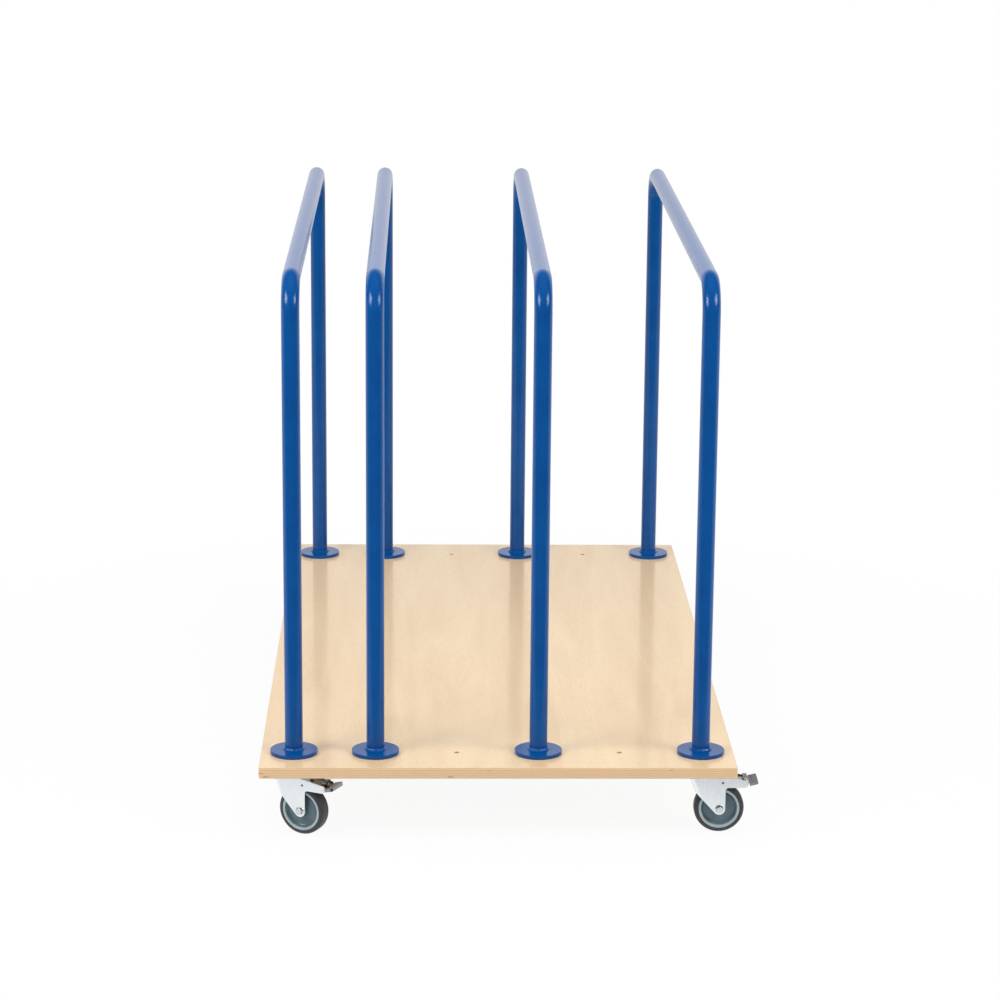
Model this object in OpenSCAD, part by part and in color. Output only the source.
/* [Deck] */
// Width of the plywood deck, side to side
deck_w = 1000; // [960:10:1100]
// Length of the plywood deck, end to end
deck_l = 1800; // [1600:10:2000]
// Thickness of the plywood
deck_t = 24; // [21:1:30]
// Radius of the four upright corners
deck_corner_r = 6; // [3:1:12]
// Chamfer that breaks the long edges of the board
deck_chamfer = 1; // [0.5:0.5:2]

/* [Hoop stations] */
// Distance from the side of the deck to the outer hoop station
foot_side_inset = 70; // [60:1:80]
// Distance from the end of the deck to the hoop feet
foot_end_inset = 100; // [90:5:130]
// Bolt hole through the deck at each station
station_hole_d = 11; // [10.6:0.2:12]
// Counterbore under the deck for the bolt head and its washer
counterbore_d = 24; // [22:1:28]
// Depth of that counterbore
counterbore_depth = 9; // [9:0.5:11]

/* [Hoops] */
// Height of the top of a hoop above the deck
hoop_h = 1025; // [700:1:1300]
// Outer diameter of the hoop tube
tube_d = 38; // [32:1:42]
// Wall of the hoop tube
tube_wall = 2; // [1.5:0.5:3]
// Bend radius at the centre of the tube
bend_r = 65; // [50:1:120]
// Diameter of the welded foot flange
flange_d = 100; // [80:1:110]
// Thickness of the foot flange
flange_t = 8; // [6:1:10]
// Width of the weld bead round the foot of the tube
weld_w = 5.5; // [3:0.5:7]
// Height of the weld bead
weld_h = 6; // [3:0.5:8]
// Broken edge round the top of the flange
flange_edge = 0.8; // [0.4:0.1:1.5]

/* [Foot fasteners] */
// Thread diameter of the bolt that holds a foot
foot_bolt_d = 10; // [8:0.5:10]
// Length of that bolt under its head
foot_bolt_l = 30; // [26:1:36]
// Width across the flats of its head
foot_bolt_af = 16; // [14:1:17]
// Height of its head
foot_bolt_head = 6.4; // [5:0.2:6.4]
// Outer diameter of the washer under the head
foot_washer_d = 21; // [19:1:21]
// Thickness of that washer
foot_washer_t = 2; // [1.5:0.1:2.2]

/* [Casters] */
// Height of a caster from the floor to the underside of the deck
caster_h = 138; // [137:1:150]
// How far the swivel axis sits outside the outer hoop station
caster_out = 6; // [0:1:10]
// How far the swivel axis sits past the hoop feet, towards the end
caster_past = 30; // [28:1:36]
// Distance from the swivel axis back to the axle
trail = 32; // [30:1:36]
// Length of the top plate, along the deck
plate_l = 100; // [98:1:104]
// Width of the top plate
plate_w = 85; // [82:1:90]
// Thickness of the top plate
plate_t = 3; // [2.5:0.5:4]
// Hole spacing along the plate
plate_hole_l = 80; // [76:1:82]
// Hole spacing across the plate
plate_hole_w = 60; // [58:1:64]
// Diameter of the plate holes
plate_hole_d = 9; // [8.5:0.1:10]
// Corner radius of the plate
plate_corner_r = 9; // [4:1:12]

/* [Swivel bearing] */
// How far the middle of the plate is pressed down
dish_depth = 4; // [3.5:0.5:5]
// Radius of the pressed dish
dish_r = 25; // [24.5:0.5:27]
// Diameter of the upper balls
upper_ball_d = 6; // [5:0.5:6.5]
// Radius of the circle of upper balls
upper_race_r = 19; // [18:0.5:20]
// Number of upper balls
upper_balls = 15; // [10:1:16]
// Diameter of the lower balls
lower_ball_d = 5; // [4:0.5:5]
// Radius of the circle of lower balls
lower_race_r = 11; // [10.5:0.5:11.5]
// Number of lower balls
lower_balls = 10; // [6:1:11]
// Diameter of the kingpin
kingpin_d = 12; // [10:1:13]
// Radius of the kingpin's riveted head
kingpin_head_r = 10; // [8:0.5:12]
// Radius of the toothed rim that the brake locks
rim_r = 16; // [15:0.5:16]
// Thickness of that rim
rim_t = 3; // [2:0.5:3]
// Number of notches in the rim
rim_notches = 24; // [12:1:30]
// Radius of a notch
rim_notch_r = 1.1; // [0.8:0.1:1.3]

/* [Fork] */
// Thickness of the pressed steel
fork_t = 2.5; // [2:0.5:3]
// Width of the fork over its two cheeks
fork_w = 40; // [40:0.5:44]
// Radius of the round crown over the balls
crown_r = 29; // [28:0.5:31]
// Height of the shoulder from the crown down to the cheeks
shoulder_h = 10; // [7:0.5:12]
// How far the rounded front wall stands ahead of the swivel axis
front_reach = 34; // [33.5:0.5:36]
// Radius of the front wall's two upright corners
front_corner_r = 10; // [8:0.5:10.5]
// Lean of the front wall from upright, in degrees
front_rake = 21; // [16:1:23]
// Depth of the front wall's low edge below the deck
front_depth = 46; // [42:1:46]
// Where the cheek's top edge leaves the crown, behind the swivel axis
crown_end = 22; // [18:1:26]
// Radius of the cheek round the axle
axle_eye_r = 12.5; // [11:0.5:14]
// Reach of the cheek's brake lip behind the swivel axis
lip_reach = 92; // [84:1:96]
// Drop of the lip's lower edge below the pedal's pin
lip_drop = 11; // [9:0.5:13]
// Depth of the lip at its tip
lip_tip_h = 15.5; // [13:0.5:17]
// Radius of the lower corner of the lip
lip_tip_r = 8; // [5:0.5:10]
// Radius of the inside corner between leg and lip
lip_fillet_r = 7; // [4:0.5:8]

/* [Wheel] */
// Diameter of the wheel over the tyre
wheel_d = 106; // [100:1:106]
// Width of the tyre
wheel_w = 32; // [28:0.5:32]
// Height of the tyre's soft band
tyre_h = 9.5; // [8:0.5:11]
// Radius of the tyre's rounded shoulders
tyre_shoulder_r = 8; // [5:0.5:8.5]
// Width of the light ring at the edge of the hub
hub_ring_w = 5; // [4:0.5:7]
// Depth of the dish in the hub's face
hub_dish = 8.5; // [6:0.5:10]
// Radius of the hub's boss
hub_boss_r = 13; // [11:0.5:15]
// Height of the rib that keys the tyre to the hub
tyre_key_h = 2.5; // [1.5:0.5:4]
// Width of that rib
tyre_key_w = 8; // [6:1:12]
// How far the tyre stands out past the face of the hub
tyre_proud = 1; // [0.5:0.5:2]

/* [Axle] */
// Diameter of the axle bolt
axle_d = 8; // [7:0.5:9]
// Outer diameter of the sleeve that the wheel turns on
sleeve_d = 12; // [11:0.5:14]
// Width across the flats of the bolt head and nut
axle_af = 13; // [12:0.5:14]
// Diameter of the flange under head and nut
axle_flange_d = 17.5; // [16:0.5:19]
// Thickness of that flange
axle_flange_t = 1.8; // [1:0.1:2.5]
// Height of the head over the flange
axle_head_h = 4; // [3:0.5:6]
// Height of the nut over the flange
axle_nut_h = 6; // [4:0.5:7]

/* [Brake] */
// How far the pedal's pin sits behind the swivel axis
pin_x = 38.5; // [38:0.5:41]
// Height of the pin above the top of the tyre
pin_over_tyre = 5.3; // [5:0.1:6]
// Diameter of the pin
pin_d = 5; // [4:0.5:5.5]
// Angle that the pedal swings down to lock, in degrees
pedal_stroke = 12; // [8:1:12]
// Thickness of the pedal's steel
pedal_t = 2; // [1.5:0.5:2.5]
// Room between the tread pad and the tips of the fork's lips
pad_room = 1.5; // [1.2:0.1:3]
// Length of the tread pad
pad_l = 19; // [15:0.5:22]
// Width of the tread pad
pad_w = 50; // [40:1:56]
// Depth of the pad's turned-down skirt
pad_skirt = 7; // [4:0.5:9]
// Upward tilt of the pad when the brake is off, in degrees
pad_tilt = 14; // [8:1:18]
// Raised studs across the pad
pad_studs = 8; // [4:1:10]
// Rows of studs along the pad
pad_rows = 3; // [2:1:4]
// Width of the small release tread
release_w = 25; // [18:1:28]
// Length of the small release tread
release_l = 9; // [7:0.5:11]
// Height of the release tread above the pedal's arm
release_h = 9; // [6:0.5:10]
// Width of the tongue that locks the swivel
tongue_w = 14; // [10:1:18]
// Width of the brake shoe
shoe_w = 18; // [12:1:24]
// Length of the brake shoe
shoe_l = 16; // [12:1:20]
// Gap between the shoe and the tyre when the pedal is down
shoe_gap = 0.5; // [0.4:0.1:1]
// Diameter of the rivet that holds the shoe
shoe_rivet_d = 5; // [4:0.5:6]

/* [Caster screws] */
// Diameter of the wood screws through the plate
screw_d = 8; // [6:0.5:8]
// Length of a screw under its head
screw_l = 20; // [16:1:22]
// Width across the flats of the screw head
screw_af = 13; // [11:0.5:13]
// Height of the screw head
screw_head = 5.5; // [4:0.5:5.5]
// Length of the screw's point
screw_tip = 5; // [3:0.5:7]

/* [Resting turn of each caster] */
// Front left caster, degrees from trailing to the right
front_left_turn = -27; // [-180:1:180]
// Front right caster
front_right_turn = 0; // [-180:1:180]
// Rear left caster
rear_left_turn = 12; // [-180:1:180]
// Rear right caster
rear_right_turn = -16; // [-180:1:180]

/* [Hidden] */

$fn = 72;

// Clearances: a bolt in its hole, a turning fit, and a ball in its groove
fit = 0.05;
running_fit = 0.08;
ball_gap = 0.3;
// Room between the turning parts and the cheeks
side_play = 1;
// Small overrun that keeps cuts clean, and a reach past any piece of a caster
over = 1;
span = 300;

// Stations across the deck, counted from the left, and those that carry a hoop
station_count = 6;
hoop_stations = [0, 1, 3, 5];
station_pitch = (deck_w - 2 * foot_side_inset) / (station_count - 1);
foot_y = deck_l / 2 - foot_end_inset;

function station_x(i) = -deck_w / 2 + foot_side_inset + i * station_pitch;

// Seat of the bolt head inside the counterbore
bolt_seat_z = -deck_t + counterbore_depth;

// Swivel axes of the four corners: side, end and resting turn
front_left = [-1, -1, front_left_turn];
front_right = [1, -1, front_right_turn];
rear_left = [-1, 1, rear_left_turn];
rear_right = [1, 1, rear_right_turn];
corners = [front_left, front_right, rear_left, rear_right];
kingpin_x = station_x(station_count - 1) + caster_out;
kingpin_y = foot_y + caster_past;

// Levels in a caster, measured down from the underside of the deck
dish_low_z = -plate_t - dish_depth;
upper_seat = 1;
upper_ball_z = dish_low_z - upper_ball_d / 2 + upper_seat;
crown_z = upper_ball_z - upper_ball_d / 2 + upper_seat;
crown_low_z = crown_z - fork_t;
crown_seat = 0.25;
rim_seat = 0.75;
lower_ball_z = crown_low_z - lower_ball_d / 2 + crown_seat;
rim_z = lower_ball_z - lower_ball_d / 2 + rim_seat;
rim_low_z = rim_z - rim_t;
wheel_r = wheel_d / 2;
axle_z = -caster_h + wheel_r;
tyre_top_z = axle_z + wheel_r;
cheek_in = fork_w / 2 - fork_t;

// Brake: the pin, and the pedal's arm, which slopes down behind it
pin_z = tyre_top_z + pin_over_tyre;
lip_low_z = pin_z - lip_drop;
lip_top_z = lip_low_z + lip_tip_h;
pad_start = lip_reach + pad_room;
arm_slope = 7;
arm_start = pin_x - 8;
arm_start_z = pin_z + 9.7;
arm_l = (pad_start - arm_start) / cos(arm_slope);
arm_half = cheek_in - side_play;
pad_start_z = arm_start_z - arm_l * sin(arm_slope);
pin_boss_r = 6;

// Tread pads: step down from the arm, corner radius, height of the studs and the groove between
pad_sink = 0.3;
pad_corner_r = 5;
stud_h = 0.8;
stud_gap = 1.2;
// The release tread stands this far ahead of the pad
release_x = pad_start - release_l - 3;

// The tongue starts beside the toothed rim and ends in an upturned tooth
tongue_room = 0.4;
tongue_t = 3;
tooth_l = 2.4;
tooth_h = 5;

// The shoe's rivet, along the arm from the front of the pedal, and its head
shoe_rivet_x = 22;
shoe_head_h = 1.6;
shoe_head_over = 2;

// Boards and plates

module rounded_plan(w, l, r) {
    square([w - 2 * r, l], center = true);
    square([w, l - 2 * r], center = true);
    for (x = [-1, 1], y = [-1, 1])
        translate([x * (w / 2 - r), y * (l / 2 - r)]) circle(r);
}

// A slab's cross-section with its four long edges broken
module chamfered_section(w, t, c) {
    polygon([
        [-w / 2 + c, 0], [w / 2 - c, 0], [w / 2, c], [w / 2, t - c],
        [w / 2 - c, t], [-w / 2 + c, t], [-w / 2, t - c], [-w / 2, c]
    ]);
}

module at_stations(list) {
    for (i = list, end = [-1, 1])
        translate([station_x(i), end * foot_y, 0]) children();
}

module at_plate_holes() {
    for (x = [-1, 1], y = [-1, 1])
        translate([x * plate_hole_w / 2, y * plate_hole_l / 2, 0]) children();
}

module deck_board() {
    color("burlywood")
    difference() {
        intersection() {
            translate([0, 0, -deck_t]) linear_extrude(deck_t)
                rounded_plan(deck_w, deck_l, deck_corner_r);
            translate([0, deck_l / 2, -deck_t]) rotate([90, 0, 0]) linear_extrude(deck_l)
                chamfered_section(deck_w, deck_t, deck_chamfer);
            translate([-deck_w / 2, 0, -deck_t]) rotate([90, 0, 90]) linear_extrude(deck_w)
                chamfered_section(deck_l, deck_t, deck_chamfer);
        }
        at_stations([0 : station_count - 1]) {
            translate([0, 0, -deck_t - over]) cylinder(d = station_hole_d, h = deck_t + 2 * over);
            translate([0, 0, -deck_t - over]) cylinder(d = counterbore_d, h = counterbore_depth + over);
        }
        for (c = corners) at_corner(c) at_plate_holes()
            translate([0, 0, -over]) cylinder(d = screw_d + 2 * fit, h = over + screw_l - plate_t + 1);
    }
}

// Hoops

// One bent tube with its two weld beads, which stand flat on the flanges
module hoop_tube(i) {
    top_z = hoop_h - tube_d / 2;
    color("royalblue")
    translate([station_x(hoop_stations[i]), 0, 0])
    difference() {
        union() {
            hoop_run(tube_d, top_z);
            for (end = [-1, 1]) translate([0, end * foot_y, flange_t]) weld_bead();
        }
        hoop_run(tube_d - 2 * tube_wall, top_z, over);
    }
}

module hoop_run(d, top_z, extra = 0) {
    for (end = [0, 1]) mirror([0, end, 0]) {
        translate([0, foot_y, flange_t - extra]) cylinder(d = d, h = top_z - bend_r - flange_t + extra);
        translate([0, foot_y - bend_r, top_z - bend_r]) rotate([90, 0, 90])
            rotate_extrude(angle = 90) translate([bend_r, 0]) circle(d = d);
    }
    translate([0, foot_y - bend_r, top_z]) rotate([90, 0, 0])
        cylinder(d = d, h = 2 * (foot_y - bend_r));
}

module weld_bead() {
    r = tube_d / 2;
    rotate_extrude() polygon([
        [r - tube_wall / 2, 0], [r + weld_w, 0], [r + weld_w * 0.92, weld_h * 0.2],
        [r + weld_w * 0.62, weld_h * 0.52], [r + weld_w * 0.25, weld_h * 0.82],
        [r, weld_h], [r - tube_wall / 2, weld_h]
    ]);
}

// The two round flanges of one hoop, drilled and tapped in the middle
module hoop_feet(i) {
    color("royalblue")
    for (end = [-1, 1])
        translate([station_x(hoop_stations[i]), end * foot_y, 0])
        rotate_extrude() polygon([
            [foot_bolt_d / 2 + fit, 0], [flange_d / 2, 0], [flange_d / 2, flange_t - flange_edge],
            [flange_d / 2 - flange_edge, flange_t], [foot_bolt_d / 2 + fit, flange_t]
        ]);
}

// Hexagon of a given width across its flats
module hexagon(af) {
    circle(d = af / cos(30), $fn = 6);
}

module foot_bolts() {
    head_top = bolt_seat_z - foot_washer_t;
    color("silver")
    at_stations(hoop_stations) {
        translate([0, 0, head_top]) cylinder(d = foot_bolt_d, h = foot_bolt_l);
        translate([0, 0, head_top - foot_bolt_head]) linear_extrude(foot_bolt_head) hexagon(foot_bolt_af);
    }
}

module foot_washers() {
    color("gainsboro")
    at_stations(hoop_stations)
        translate([0, 0, bolt_seat_z - foot_washer_t]) linear_extrude(foot_washer_t)
        difference() {
            circle(d = foot_washer_d);
            circle(d = foot_bolt_d + 0.5);
        }
}

// Casters

// Puts a fixed piece on the swivel axis of a corner
module at_corner(c) {
    translate([c[0] * kingpin_x, c[1] * kingpin_y, -deck_t]) children();
}

// Puts a turning piece there, at its resting turn; the wheel trails along +X
module at_caster(c) {
    at_corner(c) rotate([0, 0, c[2]]) children();
}

module on_axle() {
    translate([trail, 0, axle_z]) rotate([-90, 0, 0]) children();
}

module on_pin() {
    translate([pin_x, 0, pin_z]) rotate([-90, 0, 0]) children();
}

module caster_screws() {
    shank = screw_l - screw_tip;
    point_d = 1;
    color("silver")
    for (c = corners) at_corner(c) at_plate_holes() {
        translate([0, 0, -plate_t]) cylinder(d = screw_d, h = shank);
        translate([0, 0, -plate_t + shank]) cylinder(d1 = screw_d, d2 = point_d, h = screw_tip);
        translate([0, 0, -plate_t - screw_head]) linear_extrude(screw_head) hexagon(screw_af);
    }
}

module ball_groove(race_r, ball_d, z) {
    translate([0, 0, z]) rotate_extrude() translate([race_r, 0]) circle(r = ball_d / 2 + ball_gap);
}

module top_plate() {
    bowl_r = dish_r - plate_t;
    color("lightsteelblue")
    difference() {
        union() {
            translate([0, 0, -plate_t]) linear_extrude(plate_t)
                rounded_plan(plate_w, plate_l, plate_corner_r);
            translate([0, 0, dish_low_z]) cylinder(r1 = dish_r, r2 = dish_r + dish_depth, h = dish_depth);
        }
        translate([0, 0, -dish_depth])
            cylinder(r1 = bowl_r, r2 = bowl_r + dish_depth + over, h = dish_depth + over);
        translate([0, 0, dish_low_z - over]) cylinder(d = kingpin_d + 2 * fit, h = plate_t + 2 * over);
        ball_groove(upper_race_r, upper_ball_d, upper_ball_z);
        at_plate_holes() translate([0, 0, -plate_t - over])
            cylinder(d = plate_hole_d, h = plate_t + 2 * over);
    }
}

// Riveted pin; its lower rim is the seat of the lower balls
module kingpin(toothed) {
    head_top = -1;
    head_mid = -0.7 * dish_depth;
    rivet_tip = 1.5;
    notch_out = 0.3;
    color("gainsboro")
    difference() {
        rotate_extrude() polygon([
            [0, head_top], [kingpin_head_r - 2, head_top], [kingpin_head_r, head_mid],
            [kingpin_head_r, -dish_depth], [kingpin_d / 2, -dish_depth], [kingpin_d / 2, rim_z],
            [rim_r, rim_z], [rim_r, rim_low_z], [kingpin_d / 2, rim_low_z],
            [kingpin_d / 2 - rivet_tip, rim_low_z - rivet_tip], [0, rim_low_z - rivet_tip]
        ]);
        ball_groove(lower_race_r, lower_ball_d, lower_ball_z);
        if (toothed)
            for (i = [0 : rim_notches - 1])
                rotate(i * 360 / rim_notches) translate([rim_r + notch_out, 0, rim_low_z - over])
                    cylinder(r = rim_notch_r, h = rim_t + 2 * over);
    }
}

module balls() {
    color("dimgray") {
        for (i = [0 : upper_balls - 1])
            rotate(i * 360 / upper_balls) translate([upper_race_r, 0, upper_ball_z]) sphere(d = upper_ball_d);
        for (i = [0 : lower_balls - 1])
            rotate(i * 360 / lower_balls) translate([lower_race_r, 0, lower_ball_z]) sphere(d = lower_ball_d);
    }
}

// Side view of a cheek: x runs back along the trail, y is height.
// The front edge is the tangent from the low end of the front wall to the eye round the axle.
module cheek_side(braked) {
    knee = [-front_reach + (front_depth + crown_z) * tan(front_rake), -front_depth];
    to_axle = [trail, axle_z] - knee;
    run = norm(to_axle);
    edge_angle = atan2(to_axle[1], to_axle[0]) - asin(axle_eye_r / run);
    tangent_l = sqrt(run * run - axle_eye_r * axle_eye_r);
    tangent = knee + tangent_l * [cos(edge_angle), sin(edge_angle)];
    top = knee - (crown_z - knee[1]) / sin(-edge_angle) * [cos(edge_angle), sin(edge_angle)];
    leg_x = trail + axle_eye_r;
    translate([trail, axle_z]) circle(axle_eye_r);
    if (braked) {
        polygon([
            top, tangent, [trail, axle_z], [leg_x, axle_z], [leg_x, lip_low_z],
            [lip_reach - lip_tip_r, lip_low_z], [lip_reach - lip_tip_r, lip_low_z + lip_tip_r],
            [lip_reach, lip_low_z + lip_tip_r], [lip_reach, lip_top_z], [crown_end, crown_z]
        ]);
        translate([lip_reach - lip_tip_r, lip_low_z + lip_tip_r]) circle(lip_tip_r);
        difference() {
            translate([leg_x - over, lip_low_z - lip_fillet_r]) square(lip_fillet_r + over);
            translate([leg_x + lip_fillet_r, lip_low_z - lip_fillet_r]) circle(lip_fillet_r);
        }
    } else {
        // Without a brake the back edge leans forward from the leg to the crown
        lean_start = [leg_x, tyre_top_z - 16];
        lean_end = [leg_x - 6, tyre_top_z + 4];
        polygon([
            top, tangent, [trail, axle_z], [leg_x, axle_z], lean_start, lean_end, [crown_end, crown_z]
        ]);
    }
}

// Plan of the front wall and cheeks at a given width; the front corners are round
module fork_plan(w) {
    inset = (fork_w - w) / 2;
    r = front_corner_r - inset;
    translate([inset + r, -w / 2]) square([span, w]);
    translate([inset, r - w / 2]) square([r + over, w - 2 * r]);
    for (side = [-1, 1])
        translate([inset + r, side * (w / 2 - r)]) circle(r);
}

// The leaning form that the fork is drawn to, at a given width
module fork_form(w) {
    translate([-front_reach, 0, crown_z]) rotate([0, -front_rake, 0])
        linear_extrude(span, center = true) fork_plan(w);
}

// Deep-drawn fork: round crown, rounded front wall and two cheeks, open below and behind
module fork(braked) {
    kingpin_room = 1;
    mid_wall = fork_w - fork_t;
    color("lightsteelblue")
    difference() {
        union() {
            difference() {
                intersection() {
                    translate([0, fork_w / 2, 0]) rotate([90, 0, 0]) linear_extrude(fork_w) cheek_side(braked);
                    fork_form(fork_w);
                }
                fork_form(2 * cheek_in);
            }
            // The top joins the walls and runs into the round crown
            translate([0, 0, crown_low_z]) cylinder(r = crown_r, h = fork_t);
            intersection() {
                fork_form(mid_wall);
                translate([-span, -span / 2, crown_low_z]) cube([span, span, fork_t]);
            }
            difference() {
                translate([0, 0, crown_z - shoulder_h])
                    cylinder(r1 = cheek_in, r2 = crown_r, h = shoulder_h - fork_t);
                fork_form(mid_wall);
            }
        }
        translate([0, 0, crown_low_z - over])
            cylinder(d = kingpin_d + 2 * kingpin_room, h = fork_t + 2 * over);
        ball_groove(upper_race_r, upper_ball_d, upper_ball_z);
        ball_groove(lower_race_r, lower_ball_d, lower_ball_z);
        on_axle() cylinder(d = axle_d + 2 * fit, h = span, center = true);
        if (braked)
            on_pin() cylinder(d = pin_d + 2 * fit, h = span, center = true);
    }
}

// Wheel; every piece turns about the axle, so it is drawn along Z and laid over

module axle_bolt() {
    past_nut = 1;
    color("silver")
    on_axle() {
        translate([0, 0, -fork_w / 2])
            cylinder(d = axle_d, h = fork_w + axle_flange_t + axle_nut_h + past_nut);
        translate([0, 0, -fork_w / 2 - axle_flange_t]) cylinder(d = axle_flange_d, h = axle_flange_t);
        translate([0, 0, -fork_w / 2 - axle_flange_t - axle_head_h])
            linear_extrude(axle_head_h) hexagon(axle_af);
    }
}

module axle_nut() {
    color("silver")
    on_axle() translate([0, 0, fork_w / 2])
    difference() {
        union() {
            cylinder(d = axle_flange_d, h = axle_flange_t);
            translate([0, 0, axle_flange_t]) linear_extrude(axle_nut_h) hexagon(axle_af);
        }
        translate([0, 0, -over])
            cylinder(d = axle_d + 2 * fit, h = axle_flange_t + axle_nut_h + 2 * over);
    }
}

module axle_sleeve() {
    color("gainsboro")
    on_axle() translate([0, 0, -cheek_in]) linear_extrude(2 * cheek_in)
    difference() {
        circle(d = sleeve_d);
        circle(d = axle_d + 2 * fit);
    }
}

module wheel_hub() {
    color("slategray")
    on_axle() rotate_extrude() polygon(concat(hub_half_section(), other_half(hub_half_section())));
}

// The same points on the other side of the middle plane, in the order that closes the outline
function other_half(points) = [for (i = [len(points) - 1 : -1 : 0]) [points[i][0], -points[i][1]]];

// One half of the hub's section, from bore to rib: boss, dish, ring, seat of the tyre
function hub_half_section() = let(
    bore_r = sleeve_d / 2 + running_fit,
    seat_r = wheel_r - tyre_h,
    ring_r = seat_r - hub_ring_w,
    face = wheel_w / 2 - tyre_proud,
    boss_face = cheek_in - side_play,
    web_face = face - hub_dish,
    edge = 1
) [
    [bore_r, boss_face], [hub_boss_r - edge, boss_face], [hub_boss_r, boss_face - edge],
    [hub_boss_r + 2, web_face + 1.5], [ring_r - 6, web_face], [ring_r - edge, face - 3],
    [ring_r, face], [seat_r, face], [seat_r, tyre_key_w / 2],
    [seat_r + tyre_key_h, tyre_key_w / 2]
];

module tyre() {
    in_r = wheel_r - tyre_h + fit;
    half = wheel_w / 2;
    key_half = tyre_key_w / 2 + fit;
    s = tyre_shoulder_r;
    color("darkslategray")
    on_axle() rotate_extrude() difference() {
        union() {
            translate([in_r, -half + s]) square([tyre_h - fit, wheel_w - 2 * s]);
            translate([in_r, -half]) square([tyre_h - fit - s, wheel_w]);
            for (side = [-1, 1]) intersection() {
                translate([wheel_r - s, side * (half - s)]) circle(s);
                translate([in_r, -half]) square([tyre_h, wheel_w]);
            }
        }
        translate([in_r - over, -key_half]) square([tyre_key_h + over, 2 * key_half]);
    }
}

// Brake; the pedal is a pressed channel that swings between the cheeks

// Frame of the pedal's sloping arm: x along it, z out of its top face
module on_arm() {
    translate([arm_start, 0, arm_start_z]) rotate([0, arm_slope, 0]) children();
}

// Frame of the tread pad, which starts just under the arm's top and tilts up again
module on_pad() {
    translate([pad_start, 0, pad_start_z - pad_sink]) rotate([0, -pad_tilt, 0]) children();
}

// Side view of the channel's walls
module pedal_side() {
    boss_low_z = pin_z - pin_boss_r;
    polygon([
        [arm_start, arm_start_z], [pad_start, pad_start_z], [pad_start, pad_start_z - pad_skirt],
        [pin_x + pin_boss_r, boss_low_z + 1.5], [pin_x, pin_z], [arm_start, pin_z]
    ]);
    translate([pin_x, pin_z]) circle(pin_boss_r);
}

// Flat bar with two round corners at its outer end, hanging down from z = 0
module pad_block(l, w, depth, r) {
    translate([0, 0, -depth]) linear_extrude(depth) intersection() {
        translate([(l - r) / 2, 0]) rounded_plan(l + r, w, r);
        translate([0, -w / 2]) square([l, w]);
    }
}

// Rows of studs that keep the shoe from slipping
module studs(l, w, rows, across) {
    root = 0.2;
    step_x = (l - stud_gap) / rows;
    step_y = (w - stud_gap) / across;
    for (i = [0 : rows - 1], j = [0 : across - 1])
        translate([stud_gap + i * step_x, -w / 2 + stud_gap + j * step_y, -root])
            cube([step_x - stud_gap, step_y - stud_gap, stud_h + root]);
}

// Channel, open below, behind a closed front wall
module pedal_channel() {
    inside_w = 2 * (arm_half - pedal_t);
    difference() {
        translate([0, arm_half, 0]) rotate([90, 0, 0]) linear_extrude(2 * arm_half) pedal_side();
        intersection() {
            on_arm() translate([0, -inside_w / 2, -span - pedal_t]) cube([span, inside_w, span]);
            translate([arm_start + pedal_t, -arm_half, -span]) cube([span, 2 * arm_half, span]);
        }
    }
    // The top runs on under the tread pad
    on_arm() translate([arm_l - pedal_t, -arm_half, -pedal_t]) cube([2 * pedal_t, 2 * arm_half, pedal_t]);
}

module tread_pad() {
    difference() {
        on_pad() pad_block(pad_l, pad_w, pad_skirt, pad_corner_r);
        on_pad() translate([-over, 0, -pedal_t])
            pad_block(pad_l - pedal_t + over, pad_w - 2 * pedal_t, pad_skirt, pad_corner_r - pedal_t);
    }
    on_pad() studs(pad_l, pad_w, pad_rows, pad_studs);
}

module release_tread() {
    translate([release_x, -release_w / 2, pad_start_z + release_h - pedal_t])
        cube([release_l, release_w, pedal_t]);
    translate([release_x, -release_w / 2, pad_start_z - over]) cube([pedal_t, release_w, release_h]);
    translate([release_x, 0, pad_start_z + release_h]) studs(release_l, release_w, 2, 5);
}

// Tongue that rises into the toothed rim when the pedal goes down
module locking_tongue() {
    tip = rim_r + tongue_room;
    low_z = pin_z - tongue_t / 2;
    translate([tip, -tongue_w / 2, low_z]) cube([arm_start - tip + over, tongue_w, tongue_t]);
    translate([tip, -tongue_w / 2, low_z]) cube([tooth_l, tongue_w, tooth_h]);
}

module pedal() {
    color("silver")
    difference() {
        union() {
            pedal_channel();
            tread_pad();
            release_tread();
            locking_tongue();
        }
        on_pin() cylinder(d = pin_d + 2 * running_fit, h = span, center = true);
        on_arm() translate([shoe_rivet_x, 0, -pedal_t - over])
            cylinder(d = shoe_rivet_d + 2 * fit, h = pedal_t + 2 * over);
    }
}

// Brake shoe: its lower face fits the tyre, shoe_gap away, when the pedal is down
module brake_shoe() {
    block_h = 30;
    head_d = shoe_rivet_d + 2 * shoe_head_over;
    color("dimgray") {
        difference() {
            on_arm() translate([shoe_rivet_x - shoe_l / 2, -shoe_w / 2, -pedal_t - block_h])
                cube([shoe_l, shoe_w, block_h]);
            translate([pin_x, 0, pin_z]) rotate([0, -pedal_stroke, 0]) translate([-pin_x, 0, -pin_z])
                on_axle() cylinder(r = wheel_r + shoe_gap, h = span, center = true, $fn = 120);
        }
        on_arm() translate([shoe_rivet_x, 0, -pedal_t]) cylinder(d = shoe_rivet_d, h = pedal_t + shoe_head_h);
        on_arm() translate([shoe_rivet_x, 0, 0])
            cylinder(d1 = head_d, d2 = head_d - shoe_head_over, h = shoe_head_h);
    }
}

module pedal_pin() {
    recess = 0.3;
    color("gray")
    on_pin() cylinder(d = pin_d, h = fork_w - 2 * recess, center = true);
}

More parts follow.
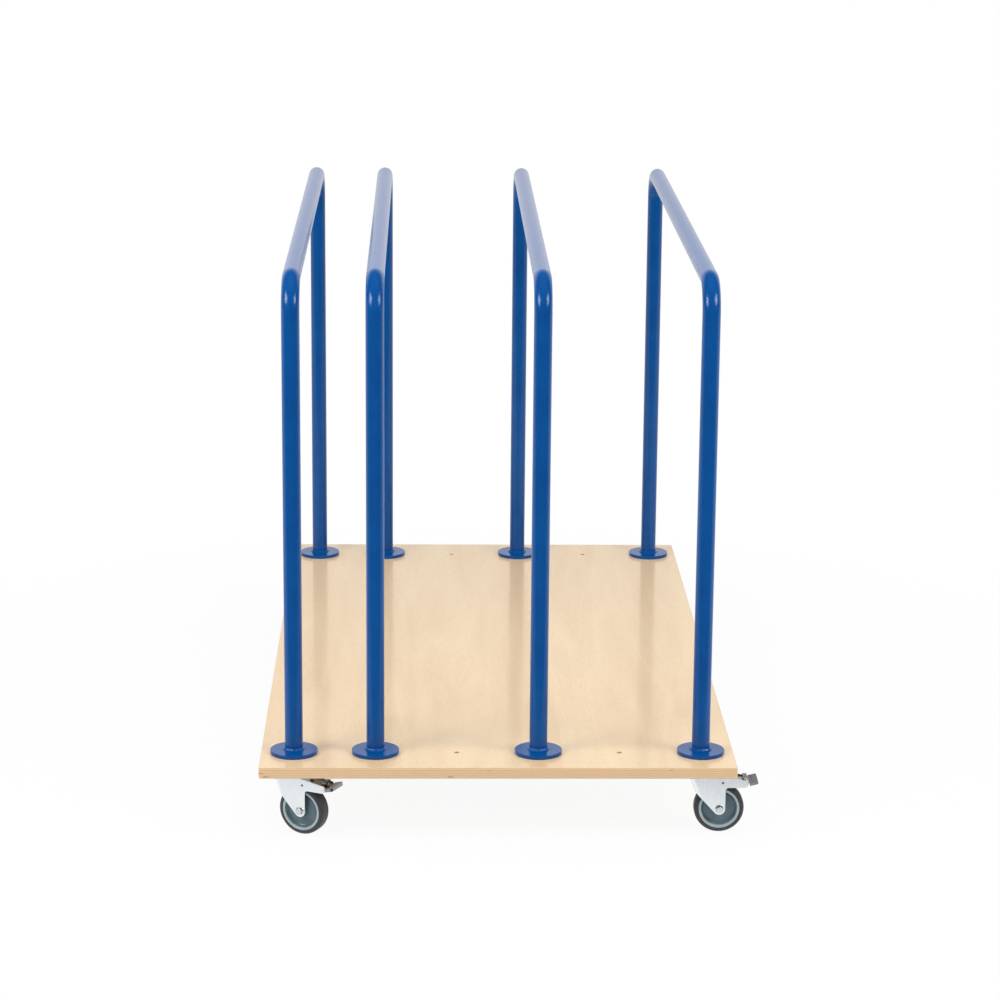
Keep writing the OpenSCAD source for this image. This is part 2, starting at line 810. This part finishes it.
deck_board();
hoop_tube(0);  // hoop_1_tube
hoop_tube(1);  // hoop_2_tube
hoop_tube(2);  // hoop_3_tube
hoop_tube(3);  // hoop_4_tube
hoop_feet(0);  // hoop_1_feet
hoop_feet(1);  // hoop_2_feet
hoop_feet(2);  // hoop_3_feet
hoop_feet(3);  // hoop_4_feet
foot_bolts();
foot_washers();
caster_screws();
at_corner(front_left) top_plate();  // front_left_plate
at_corner(front_right) top_plate();  // front_right_plate
at_corner(rear_left) top_plate();  // rear_left_plate
at_corner(rear_right) top_plate();  // rear_right_plate
at_corner(front_left) kingpin(true);  // front_left_kingpin
at_corner(front_right) kingpin(true);  // front_right_kingpin
at_corner(rear_left) kingpin(false);  // rear_left_kingpin
at_corner(rear_right) kingpin(false);  // rear_right_kingpin
at_caster(front_left) balls();  // front_left_balls
at_caster(front_right) balls();  // front_right_balls
at_caster(rear_left) balls();  // rear_left_balls
at_caster(rear_right) balls();  // rear_right_balls
at_caster(front_left) fork(true);  // front_left_fork
at_caster(front_right) fork(true);  // front_right_fork
at_caster(rear_left) fork(false);  // rear_left_fork
at_caster(rear_right) fork(false);  // rear_right_fork
at_caster(front_left) axle_bolt();  // front_left_axle_bolt
at_caster(front_right) axle_bolt();  // front_right_axle_bolt
at_caster(rear_left) axle_bolt();  // rear_left_axle_bolt
at_caster(rear_right) axle_bolt();  // rear_right_axle_bolt
at_caster(front_left) axle_nut();  // front_left_axle_nut
at_caster(front_right) axle_nut();  // front_right_axle_nut
at_caster(rear_left) axle_nut();  // rear_left_axle_nut
at_caster(rear_right) axle_nut();  // rear_right_axle_nut
at_caster(front_left) axle_sleeve();  // front_left_sleeve
at_caster(front_right) axle_sleeve();  // front_right_sleeve
at_caster(rear_left) axle_sleeve();  // rear_left_sleeve
at_caster(rear_right) axle_sleeve();  // rear_right_sleeve
at_caster(front_left) wheel_hub();  // front_left_hub
at_caster(front_right) wheel_hub();  // front_right_hub
at_caster(rear_left) wheel_hub();  // rear_left_hub
at_caster(rear_right) wheel_hub();  // rear_right_hub
at_caster(front_left) tyre();  // front_left_tyre
at_caster(front_right) tyre();  // front_right_tyre
at_caster(rear_left) tyre();  // rear_left_tyre
at_caster(rear_right) tyre();  // rear_right_tyre
at_caster(front_left) pedal();  // front_left_pedal
at_caster(front_right) pedal();  // front_right_pedal
at_caster(front_left) pedal_pin();  // front_left_pedal_pin
at_caster(front_right) pedal_pin();  // front_right_pedal_pin
at_caster(front_left) brake_shoe();  // front_left_brake_shoe
at_caster(front_right) brake_shoe();  // front_right_brake_shoe
